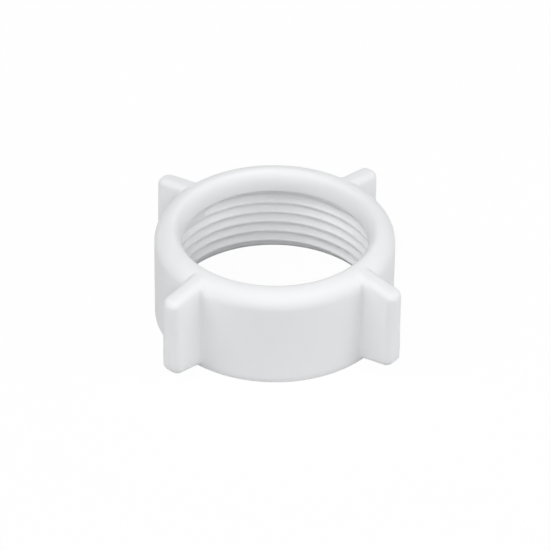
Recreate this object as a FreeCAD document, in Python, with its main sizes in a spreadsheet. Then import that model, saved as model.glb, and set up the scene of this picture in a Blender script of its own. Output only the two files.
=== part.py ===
import FreeCAD, Part
import math
import os
import Sketcher

# Union nut: one moulded ring with an inward lip at the crown, a parallel pipe
# thread below it and four tapered grip wings. The origin is at the centre of
# the open mouth, the axis is Z and the wings stand on X and Y. Sizes are in mm.

doc = FreeCAD.newDocument("union_nut")

# Sizes that can be set one by one.
sizes = doc.addObject("Spreadsheet::Sheet", "sizes")
driving = [
    ("thread_diameter", 42.0, "root of the internal thread"),
    ("thread_depth", 1.45, "from the thread's root to its crest"),
    ("thread_pitch", 2.309, "eleven threads to the inch"),
    ("thread_flank_angle", 55.0, "angle between the two flanks, in degrees"),
    ("thread_first_groove", 0.32, "height of the first groove on +X"),
    ("thread_end_gap", 2.1, "from the last groove up to the seat"),
    ("ring_wall", 2.44, "from the thread's root to the outside, at the mouth"),
    ("nut_height", 19.72, "mouth face to the top of the crown"),
    ("draft_angle", 1.25, "taper of all outer walls, in degrees"),
    ("mouth_relief_clearance", 0.05, "plain entry outside the thread's root"),
    ("mouth_relief_depth", 1.5, "depth of the plain entry"),
    ("seat_width", 1.62, "from the thread's crest in to the lip bore"),
    ("lip_thickness", 4.6, "lip from its seat to the crown"),
    ("lip_chamfer", 0.4, "lower inner edge of the lip"),
    ("crown_radius", 3.3, "rounding from the crown to the outer wall"),
    ("foot_edge_height", 0.3, "lower outer edge of the ring"),
    ("foot_edge_angle", 35.0, "slope of that edge, in degrees"),
    ("root_top_angle", 40.0, "fall of a root fillet's top, in degrees"),
    ("wing_span", 60.6, "across two opposite wings at the mouth"),
    ("wing_thickness", 4.5, "wing at the mouth"),
    ("wing_edge_radius", 1.6, "all edges of a wing"),
    ("wing_root_radius", 1.45, "upright fillet where a wing leaves the ring"),
    ("wing_top_drop", 0.62, "wing top below the crown, at the ring's outside"),
    ("wing_top_slope", 9.0, "fall of the wing top towards its tip, in degrees"),
    ("wing_foot_lift", 0.55, "wing foot above the mouth, at the ring's outside"),
    ("wing_foot_slope", 10.5, "rise of the wing foot towards its tip, in degrees"),
    ("cut_overrun", 2.0, "how far a cut runs past a face"),
]
for row, (alias, number, meaning) in enumerate(driving, start=1):
    sizes.set("A%d" % row, alias)
    sizes.set("B%d" % row, str(number))
    sizes.set("C%d" % row, meaning)
    sizes.setAlias("B%d" % row, alias)
doc.recompute()

# Places that follow from the sizes.
following = [
    ("thread_root", "sizes.thread_diameter / 2"),
    ("thread_crest", "thread_root - sizes.thread_depth"),
    ("relief_wall", "thread_root + sizes.mouth_relief_clearance"),
    ("ring_radius", "thread_root + sizes.ring_wall"),
    ("lip_bore", "thread_crest - sizes.seat_width"),
    ("seat_level", "sizes.nut_height - sizes.lip_thickness"),
    ("draft", "tan(sizes.draft_angle * 1 deg)"),
    ("below_mouth", "-sizes.cut_overrun"),
    ("wing_tip", "sizes.wing_span / 2"),
    ("outside", "wing_tip + sizes.cut_overrun"),
    # The wing's top line meets the axis at the ridge, its foot line meets the
    # mouth's plane at the start of the foot.
    ("top_fall", "tan(sizes.wing_top_slope * 1 deg)"),
    ("ridge_level", "sizes.nut_height - sizes.wing_top_drop + top_fall * ring_radius"),
    ("cap_level", "ridge_level + sizes.cut_overrun"),
    ("foot_rise", "tan(sizes.wing_foot_slope * 1 deg)"),
    ("foot_start", "ring_radius - sizes.wing_foot_lift / foot_rise"),
    ("tip_foot", "(wing_tip + draft * foot_rise * foot_start) / (1 + draft * foot_rise)"),
    ("tip_foot_level", "foot_rise * (tip_foot - foot_start)"),
    ("tip_top", "(wing_tip - draft * ridge_level) / (1 - draft * top_fall)"),
    ("tip_top_level", "ridge_level - top_fall * tip_top"),
    ("wing_half", "sizes.wing_thickness / 2"),
    ("flank_low", "wing_half - draft * below_mouth"),
    ("flank_high", "wing_half - draft * cap_level"),
    ("flank_outside", "flank_low + sizes.cut_overrun"),
    ("wing_edge", "min(sizes.wing_edge_radius; 0.95 * flank_high)"),
    ("root_across", "wing_half + sizes.wing_root_radius"),
    ("root_along", "sqrt((ring_radius + sizes.wing_root_radius) ^ 2 - root_across ^ 2)"),
    ("tangent_along", "root_along * ring_radius / (ring_radius + sizes.wing_root_radius)"),
    ("tangent_across", "root_across * ring_radius / (ring_radius + sizes.wing_root_radius)"),
    ("stub_end", "root_along + 2 * draft * sizes.nut_height"),
    # The outer rounding is tangent to the crown and to the drafted wall. It is
    # turned as five narrow tapers, and the inner one as four.
    ("crown_level", "sizes.nut_height - sizes.crown_radius"),
    ("crown_centre", "ring_radius - draft * crown_level"
     " - sizes.crown_radius / cos(sizes.draft_angle * 1 deg)"),
    ("outer_0_x", "crown_centre + sizes.crown_radius * cos(sizes.draft_angle * 1 deg)"),
    ("outer_0_z", "crown_level + sizes.crown_radius * sin(sizes.draft_angle * 1 deg)"),
    ("outer_18_x", "crown_centre + sizes.crown_radius * cos(18 deg)"),
    ("outer_18_z", "crown_level + sizes.crown_radius * sin(18 deg)"),
    ("outer_36_x", "crown_centre + sizes.crown_radius * cos(36 deg)"),
    ("outer_36_z", "crown_level + sizes.crown_radius * sin(36 deg)"),
    ("outer_54_x", "crown_centre + sizes.crown_radius * cos(54 deg)"),
    ("outer_54_z", "crown_level + sizes.crown_radius * sin(54 deg)"),
    ("outer_72_x", "crown_centre + sizes.crown_radius * cos(72 deg)"),
    ("outer_72_z", "crown_level + sizes.crown_radius * sin(72 deg)"),
    ("root_outside", "outer_0_z - tan(sizes.root_top_angle * 1 deg) * (outside - outer_0_x)"),
    ("inner_radius", "crown_centre - lip_bore"),
    ("inner_0_z", "sizes.nut_height - inner_radius"),
    ("inner_22_x", "crown_centre - inner_radius * cos(22.5 deg)"),
    ("inner_22_z", "inner_0_z + inner_radius * sin(22.5 deg)"),
    ("inner_45_x", "crown_centre - inner_radius * cos(45 deg)"),
    ("inner_45_z", "inner_0_z + inner_radius * sin(45 deg)"),
    ("inner_67_x", "crown_centre - inner_radius * cos(67.5 deg)"),
    ("inner_67_z", "inner_0_z + inner_radius * sin(67.5 deg)"),
    ("lip_edge_level", "seat_level + sizes.lip_chamfer"),
    ("lip_edge_wall", "lip_bore + sizes.lip_chamfer"),
    ("foot_edge_rise", "tan(sizes.foot_edge_angle * 1 deg)"),
    ("foot_edge_start", "ring_radius - sizes.foot_edge_height / foot_edge_rise"),
    ("foot_edge_outside", "foot_edge_rise * (outside - foot_edge_start)"),
    ("flank_fall", "tan(sizes.thread_flank_angle / 2 * 1 deg)"),
    ("groove_inner", "thread_crest - sizes.thread_depth / 4"),
    ("groove_wide", "sizes.thread_pitch / 4 + flank_fall * sizes.thread_depth * 3 / 4"),
    ("groove_narrow", "sizes.thread_pitch / 4 - flank_fall * sizes.thread_depth / 2"),
    ("groove_start", "sizes.thread_first_groove - sizes.thread_pitch"),
    ("groove_wide_low", "groove_start - groove_wide"),
    ("groove_wide_high", "groove_start + groove_wide"),
    ("groove_narrow_low", "groove_start - groove_narrow"),
    ("groove_narrow_high", "groove_start + groove_narrow"),
    ("groove_turns", "(seat_level - sizes.thread_end_gap - groove_start) / sizes.thread_pitch"),
]
places = doc.addObject("Spreadsheet::Sheet", "places")
for row, (alias, formula) in enumerate(following, start=1):
    places.set("A%d" % row, alias)
    places.setAlias("B%d" % row, alias)
    places.set("B%d" % row, "=" + formula)
doc.recompute()
driving_names = [entry[0] for entry in driving]


def value(name):
    """Number behind a name of either sheet; a leading minus mirrors it."""
    if name.startswith("-"):
        return -value(name[1:])
    owner = sizes if name in driving_names else places
    found = owner.get(name)
    return float(getattr(found, "Value", found))


def cell(name):
    """Name of a size as an expression."""
    if name.startswith("-"):
        return "-" + cell(name[1:])
    return ("sizes." if name in driving_names else "places.") + name


def origin_item(body, role):
    return [item for item in body.Origin.OriginFeatures if item.Role == role][0]


def new_sketch(body, name, role):
    sketch = body.newObject("Sketcher::SketchObject", name)
    sketch.AttachmentSupport = [(origin_item(body, role), "")]
    sketch.MapMode = "FlatFace"
    return sketch


def dimension(sketch, kind, where, name):
    index = sketch.addConstraint(Sketcher.Constraint(kind, *where, value(name)))
    sketch.setExpression("Constraints[%d]" % index, cell(name))


def add_loop(sketch, corners):
    """Straight-sided loop whose corners are pairs of named places, 0 for an axis."""
    points = [FreeCAD.Vector(value(x) if x else 0, value(y) if y else 0, 0) for x, y in corners]
    base, count = sketch.GeometryCount, len(points)
    for i in range(count):
        sketch.addGeometry(Part.LineSegment(points[i], points[(i + 1) % count]), False)
    for i in range(count):
        follower = base + (i + 1) % count
        sketch.addConstraint(Sketcher.Constraint("Coincident", base + i, 2, follower, 1))
    for i, (x, y) in enumerate(corners, start=base):
        if x:
            dimension(sketch, "DistanceX", (-1, 1, i, 1), x)
        else:
            sketch.addConstraint(Sketcher.Constraint("PointOnObject", i, 1, -2))
        if y:
            dimension(sketch, "DistanceY", (-1, 1, i, 1), y)
        else:
            sketch.addConstraint(Sketcher.Constraint("PointOnObject", i, 1, -1))


# A cut's profile stands midway between two wings, so that the seam of a turned
# face crosses no wing.
between_wings = FreeCAD.Rotation(FreeCAD.Vector(0, 1, 0), 45)


def turned_cut(body, name, corners):
    """Full-turn cut about Z with a straight-sided profile."""
    sketch = new_sketch(body, name + "_outline", "XZ_Plane")
    add_loop(sketch, corners)
    sketch.AttachmentOffset = FreeCAD.Placement(FreeCAD.Vector(0, 0, 0), between_wings)
    before = body.Tip.Shape.Volume
    cut = body.newObject("PartDesign::Groove", name)
    cut.Profile = sketch
    cut.ReferenceAxis = (origin_item(body, "Z_Axis"), [""])
    cut.Angle = 360
    cut.Refine = True
    doc.recompute()
    assert cut.Shape.Volume < before, name
    return cut


# Two opposite wings are one bar across the axis. Its top falls and its foot
# rises towards both tips, its flanks and tips are drafted, and all its edges
# are rounded. Two such bars stand at right angles.
bar_body = doc.addObject("PartDesign::Body", "wing_bars")
bar = new_sketch(bar_body, "bar_outline", "XZ_Plane")
add_loop(bar, [("-foot_start", 0), ("foot_start", 0), ("tip_foot", "tip_foot_level"),
               ("tip_top", "tip_top_level"), (0, "ridge_level"),
               ("-tip_top", "tip_top_level"), ("-tip_foot", "tip_foot_level")])
bar_pad = bar_body.newObject("PartDesign::Pad", "bar")
bar_pad.Profile = bar
bar_pad.Midplane = True
bar_pad.setExpression("Length", "2 * places.flank_outside")
doc.recompute()
flanks = new_sketch(bar_body, "flanks_outline", "YZ_Plane")
for side in ("", "-"):
    add_loop(flanks, [(side + "flank_low", "below_mouth"), (side + "flank_outside", "below_mouth"),
                      (side + "flank_outside", "cap_level"), (side + "flank_high", "cap_level")])
flank_cut = bar_body.newObject("PartDesign::Pocket", "flanks")
flank_cut.Profile = flanks
flank_cut.Type = "ThroughAll"
flank_cut.Midplane = True
flank_cut.Refine = True
doc.recompute()
assert flank_cut.Shape.Volume < bar_pad.Shape.Volume, "flanks"
bar_edges = bar_body.newObject("PartDesign::Fillet", "wing_edges")
every_edge = ["Edge%d" % number for number in range(1, len(flank_cut.Shape.Edges) + 1)]
bar_edges.Base = (flank_cut, every_edge)
bar_edges.setExpression("Radius", "places.wing_edge")
bar_body.Tip = bar_edges
doc.recompute()
bars = bar_body.newObject("PartDesign::PolarPattern", "two_bars")
bars.TransformMode = "Whole shape"
bars.Axis = (origin_item(bar_body, "Z_Axis"), [""])
bars.Angle = 90
bars.Occurrences = 2
bars.Refine = True
bar_body.Tip = bars
doc.recompute()

# The ring's outside is a drafted disc. Its outline carries the hollow fillets
# that lead to the wings, each pair with a short stub that ends inside its wing.
body = doc.addObject("PartDesign::Body", "nut_body")
ring = new_sketch(body, "ring_outline", "XY_Plane")
ring_radius, root_radius = value("ring_radius"), value("wing_root_radius")
along, across = value("root_along"), value("root_across")
stub, half = value("stub_end"), value("wing_half")
root_turn = math.atan2(across, along)
axis_up = FreeCAD.Vector(0, 0, 1)


def turned(x, y, quarter):
    """Point turned by quarters about the axis."""
    c, s = [(1, 0), (0, 1), (-1, 0), (0, -1)][quarter]
    return FreeCAD.Vector(c * x - s * y, s * x + c * y, 0)


def turned_names(x, y, quarter):
    """Names of a turned point's two distances from the axis, empty for one not given."""
    opposite = y[1:] if y.startswith("-") else "-" + y
    return [(x, y), (opposite, x), ("-" + x, opposite), (y, "-" + x)][quarter]


ring_circle = Part.Circle(FreeCAD.Vector(0, 0, 0), axis_up, ring_radius)
for quarter in range(4):
    turn = quarter * math.pi / 2
    first = 6 * quarter
    lower = Part.Circle(turned(along, -across, quarter), axis_up, root_radius)
    upper = Part.Circle(turned(along, across, quarter), axis_up, root_radius)
    stub_corners = [turned(x, y, quarter) for x, y in
                    [(along, -half), (stub, -half), (stub, half), (along, half)]]
    lower_turns = (turn + math.pi / 2, turn + math.pi - root_turn)
    upper_turns = (turn - math.pi + root_turn, turn - math.pi / 2)
    ring_turns = (turn + root_turn, turn + math.pi / 2 - root_turn)
    ring.addGeometry(Part.ArcOfCircle(lower, *lower_turns), False)
    for i in range(3):
        ring.addGeometry(Part.LineSegment(stub_corners[i], stub_corners[i + 1]), False)
    ring.addGeometry(Part.ArcOfCircle(upper, *upper_turns), False)
    ring.addGeometry(Part.ArcOfCircle(ring_circle, *ring_turns), False)
for quarter in range(4):
    first = 6 * quarter
    joints = [(first, 1, first + 1, 1), (first + 1, 2, first + 2, 1),
              (first + 2, 2, first + 3, 1), (first + 3, 2, first + 4, 2),
              (first + 4, 1, first + 5, 1), (first + 5, 2, (first + 6) % 24, 2),
              (first + 5, 3, -1, 1)]
    for joint in joints:
        ring.addConstraint(Sketcher.Constraint("Coincident", *joint))
    # Both distances of the fillets' centres, of one tangent point and of the
    # stub's corners; one distance where a circle already gives the other.
    anchors = [(first, 3, "root_along", "-root_across"), (first + 4, 3, "root_along", "root_across"),
               (first + 5, 1, "tangent_along", "tangent_across"), (first, 2, "", "-tangent_across"),
               (first, 1, "root_along", ""), (first + 4, 2, "root_along", ""),
               (first + 2, 1, "stub_end", "-wing_half"), (first + 2, 2, "stub_end", "wing_half")]
    for item, point, name_x, name_y in anchors:
        x_name, y_name = turned_names(name_x, name_y, quarter)
        if x_name.strip("-"):
            dimension(ring, "DistanceX", (-1, 1, item, point), x_name)
        if y_name.strip("-"):
            dimension(ring, "DistanceY", (-1, 1, item, point), y_name)
blank = body.newObject("PartDesign::Pad", "ring_blank")
blank.Profile = ring
blank.Refine = True
blank.setExpression("Length", "places.cap_level")
blank.setExpression("TaperAngle", "-sizes.draft_angle")
doc.recompute()

# The crown's outer rounding comes down to the wall. Beyond the wall the same
# cut lets the tops of the root fillets fall away.
turned_cut(body, "crown", [("outer_0_x", "outer_0_z"), ("outer_18_x", "outer_18_z"),
                           ("outer_36_x", "outer_36_z"), ("outer_54_x", "outer_54_z"),
                           ("outer_72_x", "outer_72_z"), ("crown_centre", "nut_height"),
                           (0, "nut_height"), (0, "cap_level"), ("outside", "cap_level"),
                           ("outside", "root_outside")])
turned_cut(body, "foot_edge", [("foot_edge_start", 0), ("outside", "foot_edge_outside"),
                               ("outside", "below_mouth"), ("foot_edge_start", "below_mouth")])
joined = body.newObject("PartDesign::Boolean", "with_wings")
joined.setObjects([bar_body])
joined.Type = "Fuse"
joined.Refine = True
body.Tip = joined
doc.recompute()

# Bore: plain entry, thread crest, seat under the lip, the lip's own hole and
# the rounding that leads from it to the crown.
turned_cut(body, "bore", [(0, "below_mouth"), ("relief_wall", "below_mouth"),
                          ("relief_wall", "mouth_relief_depth"),
                          ("thread_crest", "mouth_relief_depth"), ("thread_crest", "seat_level"),
                          ("lip_edge_wall", "seat_level"), ("lip_bore", "lip_edge_level"),
                          ("lip_bore", "inner_0_z"), ("inner_22_x", "inner_22_z"),
                          ("inner_45_x", "inner_45_z"), ("inner_67_x", "inner_67_z"),
                          ("crown_centre", "nut_height"), ("crown_centre", "cap_level"),
                          (0, "cap_level")])

# Thread: a flat-bottomed groove swept up from below the mouth.
groove_profile = new_sketch(body, "groove_outline", "XZ_Plane")
add_loop(groove_profile, [("groove_inner", "groove_wide_low"),
                          ("thread_root", "groove_narrow_low"),
                          ("thread_root", "groove_narrow_high"),
                          ("groove_inner", "groove_wide_high")])
thread = body.newObject("PartDesign::SubtractiveHelix", "thread")
thread.Profile = groove_profile
thread.ReferenceAxis = (origin_item(body, "Z_Axis"), [""])
thread.Mode = "pitch-turns-angle"
thread.setExpression("Pitch", "sizes.thread_pitch")
thread.setExpression("Turns", "places.groove_turns")
thread.Angle = 0
thread.LeftHanded = False
thread.Reversed = False
thread.Refine = True
body.Tip = thread
body.Label = "union_nut"
doc.recompute()

for item in doc.Objects:
    if "Invalid" in item.State or "Error" in item.State:
        raise RuntimeError("%s was not built" % item.Name)
solid = body.Shape
if solid.isNull() or not solid.isValid() or len(solid.Solids) != 1:
    raise RuntimeError("the nut is not one valid solid")
os.makedirs("parts", exist_ok=True)
solid.exportStep("parts/%s.step" % body.Label)
box = solid.BoundBox
print("%s: volume %.1f, %.2f x %.2f x %.2f" % (body.Label, solid.Volume, box.XLength,
                                               box.YLength, box.ZLength))
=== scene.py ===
import math

import bpy
import numpy as np
from mathutils import Matrix, Vector


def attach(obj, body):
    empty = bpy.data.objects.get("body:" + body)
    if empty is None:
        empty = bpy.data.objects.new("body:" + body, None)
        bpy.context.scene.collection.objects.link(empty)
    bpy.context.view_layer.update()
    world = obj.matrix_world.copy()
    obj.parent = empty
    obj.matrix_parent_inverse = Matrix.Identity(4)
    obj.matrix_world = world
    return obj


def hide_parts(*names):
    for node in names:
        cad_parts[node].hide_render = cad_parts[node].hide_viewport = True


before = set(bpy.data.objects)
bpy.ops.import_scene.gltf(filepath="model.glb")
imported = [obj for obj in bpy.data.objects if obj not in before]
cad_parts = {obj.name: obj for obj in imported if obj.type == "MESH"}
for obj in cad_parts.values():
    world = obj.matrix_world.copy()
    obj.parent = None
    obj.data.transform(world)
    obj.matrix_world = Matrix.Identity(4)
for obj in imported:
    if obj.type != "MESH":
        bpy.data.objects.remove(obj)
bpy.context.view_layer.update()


# The nut is a single moulding of white plastic. Four tapered grip wings grow
# out of a drafted ring whose crown turns in to a lip. Its skin is one closed
# grid: columns go round the outline, rows go round the wall's section.

MM = 0.001                  # the sizes below are in mm
RING_RADIUS = 23.44         # outside of the ring at its mouth
NUT_HEIGHT = 19.715         # mouth face to the top of the crown
DRAFT = math.tan(math.radians(1.25))       # lean of every upright wall
CROWN_OUTER = 3.3           # rounding from the crown to the outer wall
RING_FOOT = 0.35            # rounding of the ring's lower outer edge
LIP_BORE = 17.93            # radius of the hole through the lip
LIP_SEAT = 15.12            # underside of the lip
LIP_EDGE = 0.4              # rounding of the lip's lower edge
LIP_ROUND = 3.6             # depth of the crown's rounding into the lip's bore
THREAD_CREST = 19.55        # radius of the thread's crest
MOUTH_RELIEF = 21.05        # radius of the plain entry
RELIEF_DEPTH = 1.5          # depth of the plain entry
WING_TIP = 30.3             # axis to a wing's tip at the mouth
WING_HALF = 2.25            # half of a wing's thickness at the mouth
WING_CORNER = 1.6           # upright corners of the tip, in plan
WING_ROOT = 0.6             # fillet between a wing and the ring
WING_TOP = 19.1             # height of a wing's top at the ring's outside
WING_FALL = math.tan(math.radians(9.0))    # a wing's top falls outwards
WING_FOOT = 0.55            # height of a wing's foot at the ring's outside
WING_RISE = math.tan(math.radians(10.5))   # and its foot rises
WING_EDGE = 1.4             # rounded upper and lower edges of a wing
WING_SHOULDER = 1.9         # a wing's top runs level from this far inside the ring
WING_HEEL = 23.0            # nearer to the axis than this, a wing's foot turns up
HEEL_RISE = 0.8
FILLET_LEAST = 0.02
FILLET_FADE = 0.6           # how soon the root's fillet fades along the crown


def trimmed(a, b, radius):
    """Distance to what two bodies share, with its edge rounded."""
    corner = np.hypot(np.maximum(radius + a, 0), np.maximum(radius + b, 0))
    return np.minimum(-radius, np.maximum(a, b)) + corner


def ring_distance(x, y, z):
    wall = (np.hypot(x, y) - RING_RADIUS + DRAFT * z) / math.hypot(1, DRAFT)
    body = trimmed(wall, z - NUT_HEIGHT, CROWN_OUTER)
    return trimmed(body, -z, RING_FOOT)


def wing_distance(along, across, z):
    qx = along - (WING_TIP - DRAFT * z) + WING_CORNER
    qy = np.abs(across) - (WING_HALF - DRAFT * z) + WING_CORNER
    plan = np.hypot(np.maximum(qx, 0), np.maximum(qy, 0))
    plan = plan + np.minimum(np.maximum(qx, qy), 0) - WING_CORNER
    beyond = along - RING_RADIUS
    # Inside the ring the top runs level, below the crown.
    fall = WING_FALL * np.maximum(beyond, -WING_SHOULDER)
    top = (z - WING_TOP + fall) / math.hypot(1, WING_FALL)
    foot = (WING_FOOT + WING_RISE * beyond - z) / math.hypot(1, WING_RISE)
    body = trimmed(trimmed(plan, top, WING_EDGE), foot, WING_EDGE)
    return np.maximum(body, WING_FOOT + HEEL_RISE * (WING_HEEL - along) - z)


def ring_at(point):
    return ring_distance(point[..., 0], point[..., 1], point[..., 2])


def wings_at(point):
    x, y, z = point[..., 0], point[..., 1], point[..., 2]
    return np.minimum(wing_distance(np.abs(x), y, z), wing_distance(np.abs(y), x, z))


def slope(distance, point):
    """Direction in which a distance grows."""
    step = 0.001
    grown = [distance(point + d) - distance(point - d) for d in np.eye(3) * step]
    return np.stack(grown, axis=-1) / (2 * step)


def skin_at(point):
    """Distance to the skin, and the direction in which it grows. The fillet
    is widest where ring and wing meet at a right angle, and fades out where
    they run alike."""
    a, b = ring_at(point), wings_at(point)
    slope_a, slope_b = slope(ring_at, point), slope(wings_at, point)
    alike = np.clip((slope_a * slope_b).sum(axis=-1), 0, 1)
    fade = FILLET_FADE * (1 - alike) + (1 - FILLET_FADE) * np.sqrt(1 - alike ** 2)
    radius = WING_ROOT * fade + FILLET_LEAST
    near_a, near_b = np.maximum(radius - a, 0), np.maximum(radius - b, 0)
    corner = np.maximum(np.hypot(near_a, near_b), 1e-6)
    off = np.maximum(radius, np.minimum(a, b)) - corner
    lean = (slope_a * near_a[..., None] + slope_b * near_b[..., None]) / corner[..., None]
    outside = (np.minimum(a, b) > radius)[..., None]
    return off, np.where(outside, np.where((a < b)[..., None], slope_a, slope_b), lean)


def settled(point, moves=14):
    """Points moved square to the skin until they lie on it."""
    flattest = 0.05
    for _ in range(moves):
        off, lean = skin_at(point)
        size = np.maximum((lean ** 2).sum(axis=-1), flattest)
        point = point - lean * (np.clip(off, -1, 1) / size)[..., None]
    return point


def height_over(plan, inside, outside, halvings=24):
    """Height at which the skin is crossed between two heights."""
    inside, outside = inside + 0 * plan[..., 0], outside + 0 * plan[..., 0]
    for _ in range(halvings):
        middle = (inside + outside) / 2
        held = skin_at(np.concatenate([plan, middle[..., None]], axis=-1))[0] < 0
        inside, outside = np.where(held, middle, inside), np.where(held, outside, middle)
    return (inside + outside) / 2


# The outline at the mouth: half a wing from its tip to the ring, mirrored and
# turned, with the outward direction and the angle of the matching bore column.
root_y = WING_HALF + WING_ROOT
root_x = math.sqrt((RING_RADIUS + WING_ROOT) ** 2 - root_y ** 2)
root_angle = math.atan2(root_y, root_x)
tip_points, corner_points, flank_points, root_points, bare_points = 3, 9, 12, 10, 46
corner_x, corner_y = WING_TIP - WING_CORNER, WING_HALF - WING_CORNER
half = []
for y in np.linspace(0, corner_y, tip_points)[:-1]:
    half.append((WING_TIP, y, 1.0, 0.0))
for turn in np.linspace(0, math.pi / 2, corner_points):
    c, s = math.cos(turn), math.sin(turn)
    half.append((corner_x + WING_CORNER * c, corner_y + WING_CORNER * s, c, s))
for x in np.linspace(corner_x, root_x, flank_points)[1:-1]:
    half.append((x, WING_HALF, 0.0, 1.0))
for turn in np.linspace(-math.pi / 2, math.atan2(-root_y, -root_x), root_points):
    c, s = math.cos(turn), math.sin(turn)
    half.append((root_x + WING_ROOT * c, root_y + WING_ROOT * s, -c, -s))
half = np.array(half)
bore_angle = root_angle * np.arange(len(half)) / (len(half) - 1)
bare = np.linspace(root_angle, math.pi / 2 - root_angle, bare_points)[1:-1]
columns = []
for quarter in range(4):
    turn = quarter * math.pi / 2
    c, s = math.cos(turn), math.sin(turn)
    mirrored = zip(-bore_angle[:0:-1], half[:0:-1] * (1, -1, 1, -1))
    for a, (x, y, nx, ny) in list(mirrored) + list(zip(bore_angle, half)):
        columns.append((c * x - s * y, s * x + c * y,
                        c * nx - s * ny, s * nx + c * ny, turn + a))
    for a in bare + turn:
        c2, s2 = math.cos(a), math.sin(a)
        columns.append((RING_RADIUS * c2, RING_RADIUS * s2, c2, s2, a))
columns = np.array(columns)
count = len(columns)
outline, normal, angle = columns[:, :2], columns[:, 2:4], columns[:, 4]
inward = np.column_stack([np.cos(angle), np.sin(angle)])
along = np.maximum(np.abs(outline[:, 0]), np.abs(outline[:, 1]))
beyond = np.maximum(along - RING_RADIUS, 0)
crown_blend = 1.2    # the crown's rounding turns into a wing's over this length
share = np.clip((np.hypot(outline[:, 0], outline[:, 1]) - RING_RADIUS) / crown_blend, 0, 1)
on_wing = share * share * (3 - 2 * share)
top_round = CROWN_OUTER + (WING_EDGE - CROWN_OUTER) * on_wing
top_level = NUT_HEIGHT + (WING_TOP - WING_FALL * beyond - NUT_HEIGHT) * on_wing


def inset(distance, z):
    """The outline moved in by a distance, at a height."""
    return np.column_stack([outline - normal * (distance + DRAFT * z)[:, None], z])


def spread(start, circle_radius, circle_level, beyond_level, amount):
    """Rows from the wall's end to a circle, evenly by length. In plan they
    leave the outline square and never cross."""
    square_lead, samples = 0.8, 64
    bend, end = start[:, :2] - normal * square_lead, inward * circle_radius

    def plan_at(t):
        t = t[..., None]
        return (1 - t) ** 2 * start[:, :2] + 2 * t * (1 - t) * bend + t * t * end

    shares = np.repeat((np.linspace(0, 1, samples) ** 2)[:, None], count, axis=1)
    plan = plan_at(shares)
    level = height_over(plan, start[:, 2], beyond_level)
    level[0], level[-1] = start[:, 2], circle_level
    path = np.concatenate([plan, level[..., None]], axis=-1)
    length = np.linalg.norm(np.diff(path, axis=0), axis=2)
    length = np.vstack([np.zeros(count), np.cumsum(length, axis=0)])
    made = []
    for part in np.linspace(0, 1, amount + 2)[1:-1]:
        share = np.array([np.interp(part * length[-1, k], length[:, k], shares[:, k])
                          for k in range(count)])
        plan = plan_at(share)
        made.append(np.column_stack([plan, height_over(plan, start[:, 2], beyond_level)]))
    return made


# The upright wall ends, downwards, where the foot's rounding begins to move it.
lowest, highest, trials, still = 0.1, 4.5, 89, 0.02
trial = np.linspace(lowest, highest, trials)
upright = np.array([inset(0, z + 0 * beyond) for z in trial])
moved = np.linalg.norm(settled(upright) - upright, axis=2) > still
low = trial[np.minimum(trials - np.argmax(moved[::-1], axis=0), trials - 1)]
low = (np.roll(low, 1) + 2 * low + np.roll(low, -1)) / 4
high = top_level - top_round
wall_rows, crown_rows, lip_rows, thread_rows, foot_rows = 15, 32, 14, 112, 20
clear = 0.4          # a height this far beyond the nut is surely outside it
wall = settled(np.array([inset(0, low + (high - low) * part)
                         for part in np.linspace(0, 1, wall_rows)]))
rows = list(wall)
crown_start = RING_RADIUS - DRAFT * (NUT_HEIGHT - CROWN_OUTER)
crown_circle = crown_start - CROWN_OUTER * math.hypot(1, DRAFT)
crown_inner = crown_circle - LIP_BORE
rows += spread(wall[-1], crown_circle, NUT_HEIGHT, NUT_HEIGHT + clear, crown_rows)

# The turned rows: over the crown into the lip's bore, round its lower edge to
# the seat, down the bore that the thread is cut in, and down the plain entry.
bore_rows, edge_rows, seat_rows, entry_rows = 4, 6, 4, 4
turned = [(crown_circle, NUT_HEIGHT)]
for turn in np.linspace(0, math.pi / 2, lip_rows)[1:]:
    radius = crown_circle - crown_inner * math.sin(turn)
    turned.append((radius, NUT_HEIGHT - LIP_ROUND * (1 - math.cos(turn))))
for z in np.linspace(NUT_HEIGHT - LIP_ROUND, LIP_SEAT + LIP_EDGE, bore_rows)[1:-1]:
    turned.append((LIP_BORE, z))
for turn in np.linspace(0, math.pi / 2, edge_rows):
    radius = LIP_BORE + LIP_EDGE * (1 - math.cos(turn))
    turned.append((radius, LIP_SEAT + LIP_EDGE * (1 - math.sin(turn))))
for radius in np.linspace(LIP_BORE + LIP_EDGE, THREAD_CREST, seat_rows)[1:]:
    turned.append((radius, LIP_SEAT))
for z in np.linspace(LIP_SEAT, RELIEF_DEPTH, thread_rows)[1:]:
    turned.append((THREAD_CREST, z))
for z in np.linspace(RELIEF_DEPTH, 0, entry_rows):
    turned.append((MOUTH_RELIEF, z))
for radius, z in turned:
    rows.append(np.column_stack([inward * radius, np.full(count, z)]))

# Back across the mouth face and the wings' feet.
rows += spread(wall[0], MOUTH_RELIEF, 0.0, -clear, foot_rows)[::-1]

grid = np.array(rows)
index = np.arange(len(rows) * count).reshape(len(rows), count)
beside, below = np.roll(index, -1, axis=1), np.roll(index, -1, axis=0)
faces = np.stack([index, beside, np.roll(beside, -1, axis=0), below], axis=-1).reshape(-1, 4)
mesh = bpy.data.meshes.new("nut_skin")
mesh.from_pydata((grid.reshape(-1, 3) * MM).tolist(), [], faces.tolist())
mesh.update()
for polygon in mesh.polygons:
    polygon.use_smooth = True
nut = bpy.data.objects.new("nut_skin", mesh)
bpy.context.scene.collection.objects.link(nut)


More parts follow.
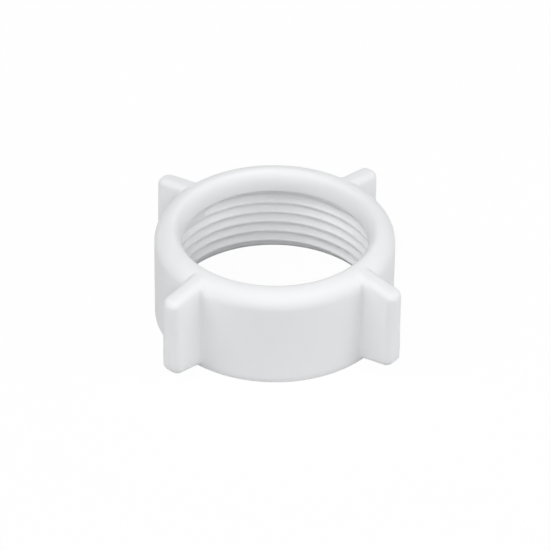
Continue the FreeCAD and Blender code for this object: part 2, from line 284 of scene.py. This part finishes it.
class Link:
    """A node socket that can be used in sums; other nodes come from node()."""

    def __init__(self, tree, socket):
        self.tree = tree
        self.socket = socket

    def node(self, kind, settings=None, inputs=None, output=0):
        made = self.tree.nodes.new(kind)
        for name, setting in (settings or {}).items():
            setattr(made, name, setting)
        for name, given in (inputs or {}).items():
            target = made.inputs[name]
            if isinstance(given, Link):
                self.tree.links.new(given.socket, target)
            else:
                target.default_value = given
        return Link(self.tree, made.outputs[output] if len(made.outputs) else None)

    def math(self, operation, first, second=None, third=None):
        inputs = {0: first}
        if second is not None:
            inputs[1] = second
        if third is not None:    # how soft a smooth minimum or maximum is
            inputs[2] = third
        return self.node("ShaderNodeMath", {"operation": operation}, inputs)

    def __add__(self, other): return self.math("ADD", self, other)
    def __radd__(self, other): return self.math("ADD", other, self)
    def __sub__(self, other): return self.math("SUBTRACT", self, other)
    def __rsub__(self, other): return self.math("SUBTRACT", other, self)
    def __mul__(self, other): return self.math("MULTIPLY", self, other)
    def __rmul__(self, other): return self.math("MULTIPLY", other, self)
    def __truediv__(self, other): return self.math("DIVIDE", self, other)


# White polypropylene. The mould's blasted wall leaves it a fine, even satin with a
# faint cloud in its tone, and a little light scatters under the surface.
def moulded_plastic():
    material = bpy.data.materials.new("white_plastic")
    material.use_nodes = True
    tree = material.node_tree
    tree.nodes.clear()
    here = Link(tree, None)
    place = here.node("ShaderNodeTexCoord", output="Object")
    cloud = here.node("ShaderNodeTexNoise", {"noise_dimensions": "3D"},
                      {"Vector": place, "Scale": 90.0, "Detail": 2.0})
    grain = here.node("ShaderNodeTexNoise", {"noise_dimensions": "3D"},
                      {"Vector": place, "Scale": 2600.0, "Detail": 1.0})
    duller, clearer = (0.882, 0.890, 0.902, 1), (0.900, 0.908, 0.920, 1)
    colour_output = 2
    tone = here.node("ShaderNodeMix", {"data_type": "RGBA"},
                     {"Factor": cloud, "A": duller, "B": clearer}, colour_output)
    bump = here.node("ShaderNodeBump", {},
                     {"Height": grain, "Strength": 0.04, "Distance": 0.00005})
    shader = here.node("ShaderNodeBsdfPrincipled", {},
                       {"Base Color": tone, "Roughness": 0.54 + cloud * 0.08, "Normal": bump,
                        "IOR": 1.49, "Subsurface Weight": 0.3, "Subsurface Radius": (1.0, 1.0, 1.0),
                        "Subsurface Scale": 0.0012})
    here.node("ShaderNodeOutputMaterial", {}, {"Surface": shader})
    return material


# The thread is a right-hand groove in the bore, eleven turns to the inch. A
# node tree pushes the bore's points out to the groove's depth at their place.
THREAD_PITCH = 2.309
THREAD_DEPTH = 1.45                   # crest to root
THREAD_FLANK = math.tan(math.radians(27.5))
FIRST_GROOVE = 0.32 - THREAD_PITCH    # height at +X of the middle of lap 0 of the groove
THREAD_TURNS = 6.49                   # the groove ends this many laps up
RUN_OUT = 25.0                        # how suddenly it ends
THREAD_SOFTNESS = 0.15                # rounding of crests and roots
thread_tree = bpy.data.node_groups.new("thread_groove", "GeometryNodeTree")
for name, kind, number in [("Geometry", "NodeSocketGeometry", None),
                           ("Crest radius", "NodeSocketFloat", THREAD_CREST),
                           ("Depth", "NodeSocketFloat", THREAD_DEPTH),
                           ("Pitch", "NodeSocketFloat", THREAD_PITCH),
                           ("First groove", "NodeSocketFloat", FIRST_GROOVE),
                           ("Turns", "NodeSocketFloat", THREAD_TURNS),
                           ("Edge softness", "NodeSocketFloat", THREAD_SOFTNESS),
                           ("Material", "NodeSocketMaterial", None)]:
    made = thread_tree.interface.new_socket(name, in_out="INPUT", socket_type=kind)
    if number is not None:
        made.default_value = number
thread_tree.interface.new_socket("Geometry", in_out="OUTPUT", socket_type="NodeSocketGeometry")
given_node = thread_tree.nodes.new("NodeGroupInput")
given = {socket.name: Link(thread_tree, socket) for socket in given_node.outputs if socket.name}
start = Link(thread_tree, None)
place = start.node("GeometryNodeInputPosition")
in_mm = start.node("ShaderNodeVectorMath", {"operation": "SCALE"}, {0: place, "Scale": 1 / MM})
parts = start.node("ShaderNodeSeparateXYZ", {}, {0: in_mm})
x, y, z = [Link(thread_tree, socket) for socket in parts.socket.node.outputs]
radius = start.math("SQRT", x * x + y * y)
turn = start.math("ARCTAN2", y, x) * (0.5 / math.pi)
turn = turn + start.math("LESS_THAN", turn, 0.0)
climb = (z - given["First groove"]) / given["Pitch"] - turn
lap = start.math("ROUND", climb)
travelled = lap + turn
away = start.math("ABSOLUTE", climb - lap) * given["Pitch"]
wide = given["Pitch"] * 0.25 + given["Depth"] * (0.5 * THREAD_FLANK)
cut = (wide - away) * (1 / THREAD_FLANK)
cut = start.math("SMOOTH_MAX", cut, 0.0, given["Edge softness"])
cut = start.math("SMOOTH_MIN", cut, given["Depth"], given["Edge softness"])
run_out = start.math("MULTIPLY", given["Turns"] - travelled, RUN_OUT)
run_out = start.node("ShaderNodeClamp", {}, {0: run_out})
groove = given["Crest radius"] + cut * run_out
reached = start.math("MAXIMUM", radius, groove)
hair, below_seat = 0.01, 0.12
over_entry = start.math("GREATER_THAN", z, RELIEF_DEPTH - hair)
under_seat = start.math("LESS_THAN", z, LIP_SEAT - below_seat)
in_bore = start.math("LESS_THAN", radius, MOUTH_RELIEF + hair)
stretch = reached / radius
moved = start.node("ShaderNodeCombineXYZ", {},
                   {0: x * stretch * MM, 1: y * stretch * MM, 2: z * MM})
chosen = start.node("FunctionNodeBooleanMath", {"operation": "AND"},
                    {0: over_entry * under_seat * in_bore, 1: True})
pushed = start.node("GeometryNodeSetPosition", {}, {"Geometry": given["Geometry"],
                                                    "Selection": chosen, "Position": moved})
real = start.node("GeometryNodeRealizeInstances", {}, {"Geometry": pushed})
painted = start.node("GeometryNodeSetMaterial", {},
                     {"Geometry": real, "Material": given["Material"]})
start.node("NodeGroupOutput", {}, {"Geometry": painted})
plastic = moulded_plastic()
threading = nut.modifiers.new("thread", "NODES")
threading.node_group = thread_tree
for socket in thread_tree.interface.items_tree:
    if socket.in_out == "INPUT" and socket.name == "Material":
        threading[socket.identifier] = plastic
evaluated = nut.evaluated_get(bpy.context.evaluated_depsgraph_get())
threaded = bpy.data.meshes.new_from_object(evaluated)
nut.modifiers.remove(threading)
nut.data = threaded
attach(nut, "root")
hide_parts("union_nut")


# Plain pale floor, which keeps a faint shadow under the mouth. Seen directly
# or in gloss it is white, and as a source of light it is a mid grey.
def shown(tree):
    total = tree.node("ShaderNodeLightPath", output="Is Camera Ray")
    for kind in ("Is Glossy Ray", "Is Transmission Ray"):
        total = total + tree.node("ShaderNodeLightPath", output=kind)
    return tree.math("MINIMUM", total, 1.0)


floor_mesh = bpy.data.meshes.new("floor")
reach = 3.0
corners = [(-reach, -reach, 0), (reach, -reach, 0), (reach, reach, 0), (-reach, reach, 0)]
floor_mesh.from_pydata(corners, [], [(0, 1, 2, 3)])
floor = bpy.data.objects.new("floor", floor_mesh)
bpy.context.scene.collection.objects.link(floor)
floor_paint = bpy.data.materials.new("pale_floor")
floor_paint.use_nodes = True
floor_tree = floor_paint.node_tree
floor_tree.nodes.clear()
ground = Link(floor_tree, None)
seen = shown(ground)
grey, white_share = 0.5, 0.96
matt = ground.node("ShaderNodeBsdfDiffuse", {}, {"Color": grey + seen * (1 - grey)})
glow = ground.node("ShaderNodeEmission", {}, {"Color": (1, 1, 1, 1), "Strength": 1.0})
mixed = ground.node("ShaderNodeMixShader", {}, {0: seen * white_share, 1: matt, 2: glow})
ground.node("ShaderNodeOutputMaterial", {}, {"Surface": mixed})
floor_mesh.materials.append(floor_paint)

# Soft studio light: a pale surround and broad lamps in front, at the sides and
# behind. Each row: name, bearing and height in degrees, size, watts.
world = bpy.data.worlds.new("surround")
bpy.context.scene.world = world
world.use_nodes = True
surround = Link(world.node_tree, None)
strength = 0.149
backdrop = world.node_tree.nodes["Background"].inputs
backdrop["Color"].default_value = (1, 1, 1, 1)
pale = strength + shown(surround) * (1 - strength)
world.node_tree.links.new(pale.socket, backdrop["Strength"])
lamp_distance, aimed_at = 2.5, Vector((0, 0, 0.01))
for name, bearing, height, size, watts in [
    ("front", 40, 37, 1.9, 25.8),
    ("left", -35, 20, 1.9, 2.2),
    ("right", 115, 20, 1.9, 13.7),
    ("high left", -35, 45, 1.9, 25.6),
    ("high right", 115, 45, 1.9, 13.3),
    ("right behind", 160, 20, 1.9, 5.7),
    ("behind", 220, 15, 1.9, 5.0),
]:
    lamp_data = bpy.data.lights.new(name, "AREA")
    lamp_data.shape = "DISK"
    lamp_data.size = size
    lamp_data.energy = watts
    lamp = bpy.data.objects.new(name, lamp_data)
    bearing, height = math.radians(bearing), math.radians(height)
    aim = Vector((math.sin(bearing) * math.cos(height), -math.cos(bearing) * math.cos(height),
                  math.sin(height)))
    lamp.location = aim * lamp_distance
    lamp.rotation_euler = (aimed_at - lamp.location).to_track_quat("-Z", "Y").to_euler()
    bpy.context.scene.collection.objects.link(lamp)

# The camera stands where the photograph was taken from.
azimuth, elevation, roll = math.radians(40.49), math.radians(37.42), math.radians(0.606)
distance, focal_px = 0.3778, 1918.2
frame_px, centre_x, centre_y = 550, 274.12, 306.93    # frame, and the nut's origin in it
camera_data = bpy.data.cameras.new("camera")
camera_data.sensor_width = 36
camera_data.lens = focal_px / frame_px * camera_data.sensor_width
camera_data.shift_x = (frame_px / 2 - centre_x) / frame_px
camera_data.shift_y = (centre_y - frame_px / 2) / frame_px
camera_data.clip_start = 0.01
camera = bpy.data.objects.new("camera", camera_data)
back = Vector((math.sin(azimuth) * math.cos(elevation), -math.cos(azimuth) * math.cos(elevation),
               math.sin(elevation)))
camera.location = back * distance
turn = (-back).to_track_quat("-Z", "Y").to_matrix().to_4x4()
camera.rotation_euler = (turn @ Matrix.Rotation(roll, 4, "Z")).to_euler()
bpy.context.scene.collection.objects.link(camera)
bpy.context.scene.camera = camera
bpy.context.scene.view_settings.view_transform = "Standard"
